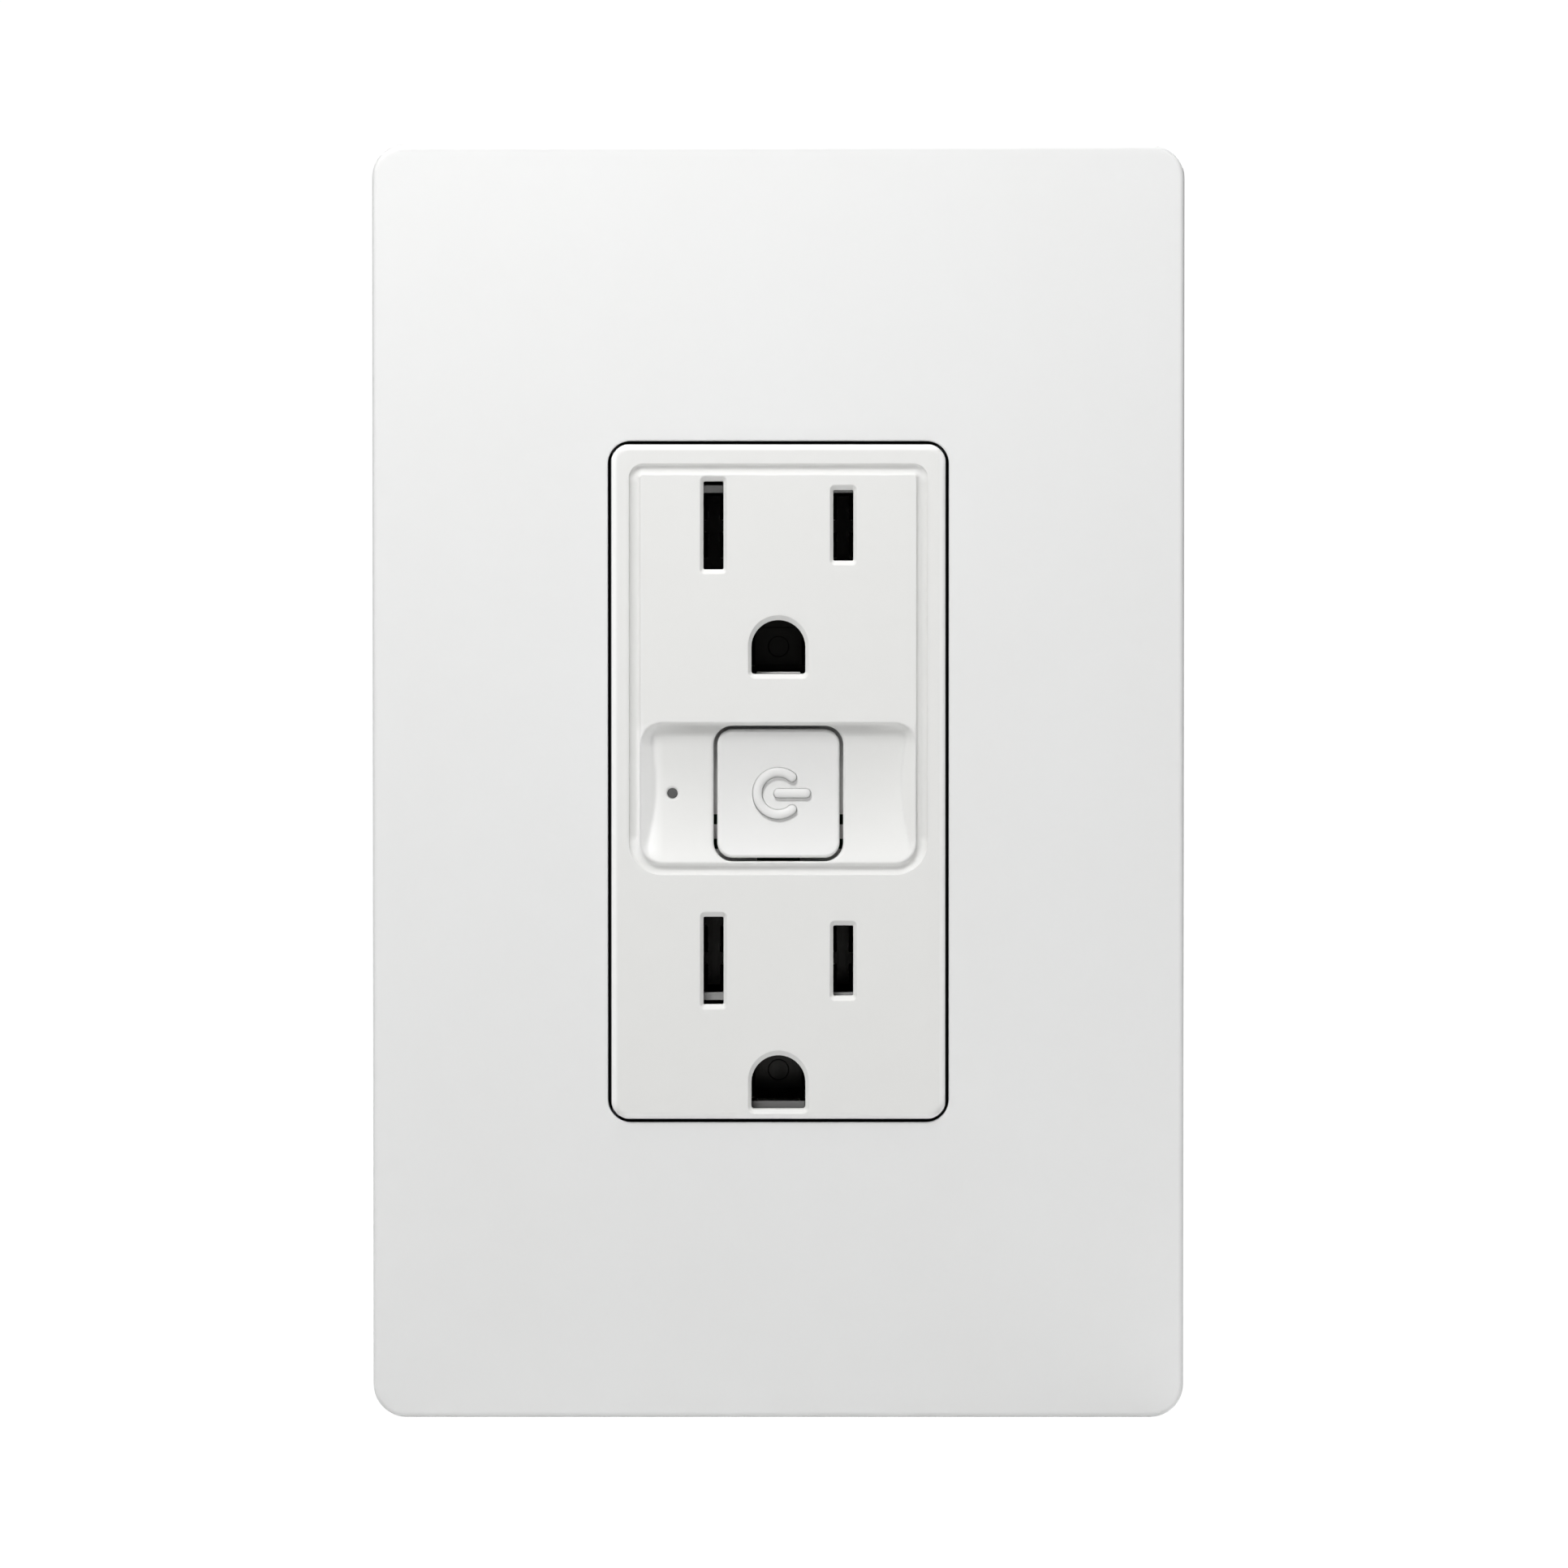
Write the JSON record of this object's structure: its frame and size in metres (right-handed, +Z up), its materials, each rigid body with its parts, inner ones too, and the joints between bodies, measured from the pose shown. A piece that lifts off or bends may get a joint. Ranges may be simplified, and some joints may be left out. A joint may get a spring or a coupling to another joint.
{
  "type": "duplex receptacle",
  "caption": "Duplex grounded wall receptacle with a central push button, status light, steel mounting strap, side wire clamps and a screwless push-on wall plate.",
  "frame": {"origin": "in the wall plane, midway between the two box screws", "axes": "+X right as seen from the room, +Y into the wall box, +Z up"},
  "size_m": [0.0794, 0.043, 0.1246],
  "materials": {
    "plate_white": "satin",
    "frame_white": "matte",
    "face_white": "satin",
    "button_white": "satin",
    "light_pipe": "translucent smoke",
    "carrier_grey": "matte",
    "body_grey": "matte",
    "plated_steel": "zinc plated",
    "zinc_steel": "zinc plated",
    "brass_plated_steel": "brass plated",
    "contact_brass": "stamped",
    "tinned_brass": "tin plated",
    "green_steel": "green chromate",
    "fibre": "vulcanised fibre",
    "circuit_board": "solder mask",
    "switch_black": "matte",
    "led_lens": "clear",
    "relay_black": "moulded",
    "winding_copper": "enamelled copper",
    "ferrite": "sintered",
    "winding_tape": "polyester tape",
    "can_sleeve": "heat-shrunk sleeve",
    "film_yellow": "moulded",
    "varistor_blue": "epoxy dipped",
    "resistor_green": "flameproof coat"
  },
  "bodies": {
    "device": {"sub_plate": "frame_white", "sub_plate_screws": "plated_steel", "yoke_strap": "zinc_steel", "box_screws": "plated_steel", "screw_retainers": "fibre", "face_cover": "face_white", "light_pipe": "light_pipe", "contact_carrier": "carrier_grey", "neutral_contact_strip": "contact_brass", "hot_contact_strip": "contact_brass", "ground_strip": "contact_brass", "ground_contact_upper": "contact_brass", "ground_contact_lower": "contact_brass", "ground_rivets": "contact_brass", "neutral_terminal_plate": "tinned_brass", "hot_terminal_plate": "contact_brass", "rear_body": "body_grey", "body_screws": "plated_steel", "control_board": "circuit_board", "tact_switch": "switch_black", "status_led": "led_lens", "radio_module": "circuit_board", "radio_shield": "zinc_steel", "header_pins": "contact_brass", "power_board": "circuit_board", "relay_case": "relay_black", "relay_coil": "winding_copper", "relay_frame": "plated_steel", "transformer_core": "ferrite", "transformer_winding": "winding_tape", "electrolytic_capacitors": "can_sleeve", "film_capacitor": "film_yellow", "varistor": "varistor_blue", "fuse_resistor": "resistor_green", "driver_chip": "switch_black"},
    "cover": {"wall_plate": "plate_white"},
    "button": {"power_button": "button_white"},
    "plunger": {"tact_plunger": "switch_black"},
    "hot_clamp": {"hot_clamp_plate": "brass_plated_steel"},
    "hot_screw": {"hot_terminal_screw": "brass_plated_steel"},
    "neutral_clamp": {"neutral_clamp_plate": "zinc_steel"},
    "neutral_screw": {"neutral_terminal_screw": "plated_steel"},
    "ground_clamp": {"ground_clamp_plate": "zinc_steel"},
    "ground_screw": {"ground_screw": "green_steel"},
    "armature": {"relay_armature": "plated_steel"}
  },
  "joints": [
    {"name": "wall_plate_pull", "type": "slide", "parent": "device", "child": "cover", "axis": [0, -1, 0], "range_m": [0, 0.02]},
    {"name": "button_press", "type": "slide", "parent": "device", "child": "button", "axis": [0, 1, 0], "range_m": [0, 0.0005], "stiffness_N_per_m": 2000, "springref_m": -0.0004},
    {"name": "plunger_press", "type": "slide", "parent": "device", "child": "plunger", "axis": [0, 1, 0], "range_m": [0, 0.0005]},
    {"name": "hot_clamp_slide", "type": "slide", "parent": "device", "child": "hot_clamp", "axis": [-1, 0, 0], "range_m": [0, 0.002]},
    {"name": "hot_screw_turn", "type": "hinge", "parent": "hot_clamp", "child": "hot_screw", "pos_m": [0.0184, 0.022, -0.02], "axis": [-1, 0, 0], "range_deg": [0, 907]},
    {"name": "neutral_clamp_slide", "type": "slide", "parent": "device", "child": "neutral_clamp", "axis": [1, 0, 0], "range_m": [0, 0.002]},
    {"name": "neutral_screw_turn", "type": "hinge", "parent": "neutral_clamp", "child": "neutral_screw", "pos_m": [-0.0184, 0.022, -0.02], "axis": [1, 0, 0], "range_deg": [0, 907]},
    {"name": "ground_clamp_slide", "type": "slide", "parent": "device", "child": "ground_clamp", "axis": [0, 0, 1], "range_m": [0, 0.002]},
    {"name": "ground_screw_turn", "type": "hinge", "parent": "ground_clamp", "child": "ground_screw", "pos_m": [0.0125, 0.0065, -0.0396], "axis": [0, 0, 1], "range_deg": [0, 907]},
    {"name": "armature_rock", "type": "hinge", "parent": "device", "child": "armature", "pos_m": [0.0075, 0.02855, 0.01118], "axis": [1, 0, 0], "range_deg": [0, 4.8], "stiffness_Nm_per_rad": 0.002, "springref_deg": -5.73}
  ],
  "couplings": [
    {"joint": "plunger_press", "follows": "button_press", "ratio": 1},
    {"joint": "hot_screw_turn", "follows": "hot_clamp_slide", "rad_per_m": 7913.3},
    {"joint": "neutral_screw_turn", "follows": "neutral_clamp_slide", "rad_per_m": 7913.3},
    {"joint": "ground_screw_turn", "follows": "ground_clamp_slide", "rad_per_m": 7913.3}
  ]
}
